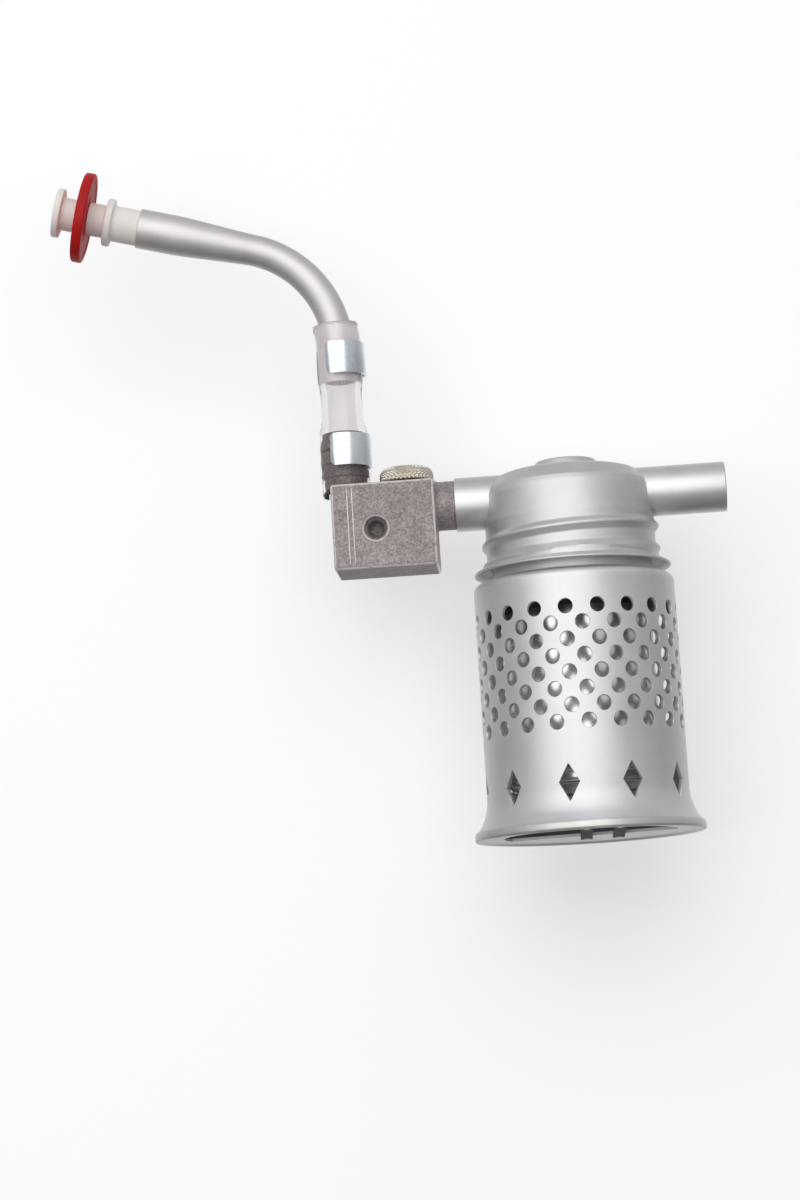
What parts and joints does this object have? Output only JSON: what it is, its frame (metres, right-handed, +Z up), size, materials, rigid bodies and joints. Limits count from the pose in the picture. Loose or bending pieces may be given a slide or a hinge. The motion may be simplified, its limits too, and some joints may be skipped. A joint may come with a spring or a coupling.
{
  "type": "gas burner assembly",
  "caption": "Atmospheric gas burner in a perforated guard can with a screw cap, fed through an injector block with a needle valve and a clamped hose.",
  "frame": {"origin": "centre of the base rim, on the surface that the burner stands on", "axes": "+Z up along the guard can's axis, +X along the outlet tube, away from the valve block"},
  "size_m": [0.1858, 0.064, 0.1973],
  "materials": {
    "guard_aluminium": "satin drawn sheet",
    "base_sheet": "dull rolled sheet",
    "strap_steel": "heat-stained",
    "flame_steel": "smooth bright sheet",
    "cap_aluminium": "satin spun sheet",
    "gasket_rubber": "matte",
    "tube_aluminium": "satin drawn tube",
    "burner_brass": "turned",
    "gauze_steel": "dark woven gauze",
    "block_zinc": "die-cast zinc, mottled grey-brown",
    "fitting_steel": "plain",
    "knob_nickel": "knurled, worn nickel plate",
    "barb_zinc": "dark cast",
    "hose_clear": "clear soft plastic",
    "clamp_zinc": "bright zinc plate",
    "nipple_nylon": "slightly translucent ivory",
    "disc_red": "deep red, smooth"
  },
  "bodies": {
    "can": {"guard_can": "guard_aluminium", "base_plate": "base_sheet", "window_straps": "strap_steel", "strap_rivets": "fitting_steel", "flame_tube": "flame_steel", "tube_hanger": "strap_steel"},
    "cap_seal": {"cap_gasket": "gasket_rubber"},
    "cap": {"screw_cap": "cap_aluminium", "mixing_tube": "tube_aluminium", "outlet_tube": "tube_aluminium", "burner_body": "burner_brass", "feed_pipe": "burner_brass", "burner_head": "burner_brass", "flame_gauze": "gauze_steel", "gauze_ring": "fitting_steel", "valve_block": "block_zinc", "test_screw": "fitting_steel", "channel_plug": "fitting_steel", "injector_jet": "burner_brass", "valve_gland": "burner_brass", "stem_seal": "gasket_rubber", "hose_barb": "barb_zinc", "gas_hose": "hose_clear", "lower_clamp": "clamp_zinc", "upper_clamp": "clamp_zinc", "inlet_tube": "tube_aluminium", "inlet_filter": "fitting_steel"},
    "needle": {"valve_needle": "fitting_steel"},
    "knob": {"valve_knob": "knob_nickel", "valve_stem": "fitting_steel"},
    "nipple": {"inlet_nipple": "nipple_nylon", "nipple_seals": "gasket_rubber", "grip_disc": "disc_red"}
  },
  "joints": [
    {"name": "cap_lift", "type": "slide", "parent": "can", "child": "cap_seal", "axis": [0, 0, 1], "range_m": [0, 0.00854]},
    {"name": "cap_turn", "type": "hinge", "parent": "cap_seal", "child": "cap", "pos_m": [0, 0, 0.0953], "axis": [0, 0, 1], "range_deg": [0, 480]},
    {"name": "needle_lift", "type": "slide", "parent": "cap", "child": "needle", "axis": [0, 0, 1], "range_m": [0, 0.00161]},
    {"name": "knob_turn", "type": "hinge", "parent": "needle", "child": "knob", "pos_m": [-0.04485, 0, 0.1045], "axis": [0, 0, 1], "range_deg": [0, 720]},
    {"name": "nipple_pull", "type": "slide", "parent": "cap", "child": "nipple", "axis": [-0.9654, -0.093, 0.2436], "range_m": [0, 0.0125]}
  ],
  "couplings": [
    {"joint": "cap_lift", "follows": "cap_turn", "m_per_rad": 0.0010186},
    {"joint": "needle_lift", "follows": "knob_turn", "m_per_rad": 0.00012732}
  ]
}
